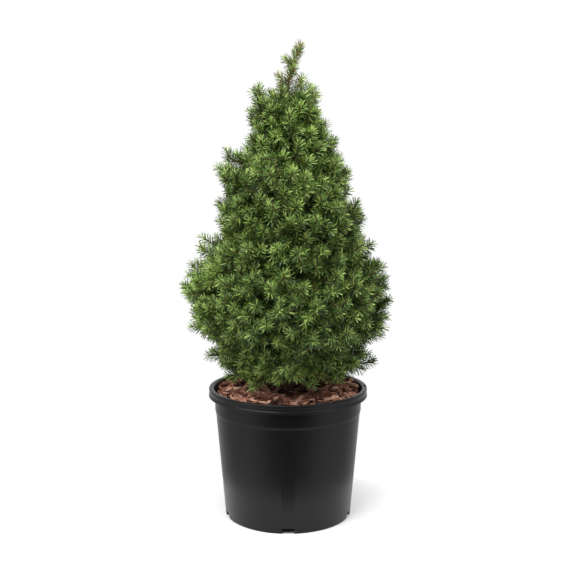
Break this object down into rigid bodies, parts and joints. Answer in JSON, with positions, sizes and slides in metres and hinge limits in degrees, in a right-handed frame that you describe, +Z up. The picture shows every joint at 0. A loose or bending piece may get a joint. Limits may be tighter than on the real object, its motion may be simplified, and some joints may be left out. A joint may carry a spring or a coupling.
{
  "type": "potted dwarf spruce",
  "caption": "Small cone-shaped dwarf spruce with dense short needles, standing in a round black nursery pot of soil topped with bark mulch.",
  "frame": {"origin": "centre of the pot's flat underside", "axes": "+Z up along the pot's axis and the trunk; the plant's front faces -Y and its right side faces +X"},
  "size_m": [0.3277, 0.3244, 0.7169],
  "materials": {
    "pot_plastic": "injection-moulded black plastic, satin, lightly scuffed",
    "soil": "damp dark potting mix",
    "mulch": "shredded red-brown bark chips",
    "bark": "thin scaly grey-brown bark",
    "needles": "soft satin grass-green needles in short dense shoots"
  },
  "bodies": {
    "root": {"pot": "pot_plastic", "potting_soil": "soil", "bark_mulch": "mulch", "trunk": "bark", "bough_skirt_1": "bark", "foliage_skirt_1": "needles", "bough_skirt_2": "bark", "foliage_skirt_2": "needles", "bough_skirt_3": "bark", "foliage_skirt_3": "needles", "bough_skirt_4": "bark", "foliage_skirt_4": "needles", "bough_skirt_5": "bark", "foliage_skirt_5": "needles", "bough_low_1": "bark", "foliage_low_1": "needles", "bough_low_2": "bark", "foliage_low_2": "needles", "bough_low_3": "bark", "foliage_low_3": "needles", "bough_low_4": "bark", "foliage_low_4": "needles", "bough_low_5": "bark", "foliage_low_5": "needles", "bough_broad_1": "bark", "foliage_broad_1": "needles", "bough_broad_2": "bark", "foliage_broad_2": "needles", "bough_broad_3": "bark", "foliage_broad_3": "needles", "bough_broad_4": "bark", "foliage_broad_4": "needles", "bough_broad_5": "bark", "foliage_broad_5": "needles", "bough_middle_1": "bark", "foliage_middle_1": "needles", "bough_middle_2": "bark", "foliage_middle_2": "needles", "bough_middle_3": "bark", "foliage_middle_3": "needles", "bough_middle_4": "bark", "foliage_middle_4": "needles", "bough_middle_5": "bark", "foliage_middle_5": "needles", "foliage_shoulder_1": "needles", "foliage_shoulder_2": "needles", "foliage_shoulder_3": "needles", "foliage_shoulder_4": "needles", "foliage_upper_1": "needles", "foliage_upper_2": "needles", "foliage_upper_3": "needles", "foliage_upper_4": "needles", "foliage_crest_1": "needles", "foliage_crest_2": "needles", "foliage_crest_3": "needles", "foliage_crest_4": "needles", "foliage_leader": "needles"}
  },
  "joints": []
}
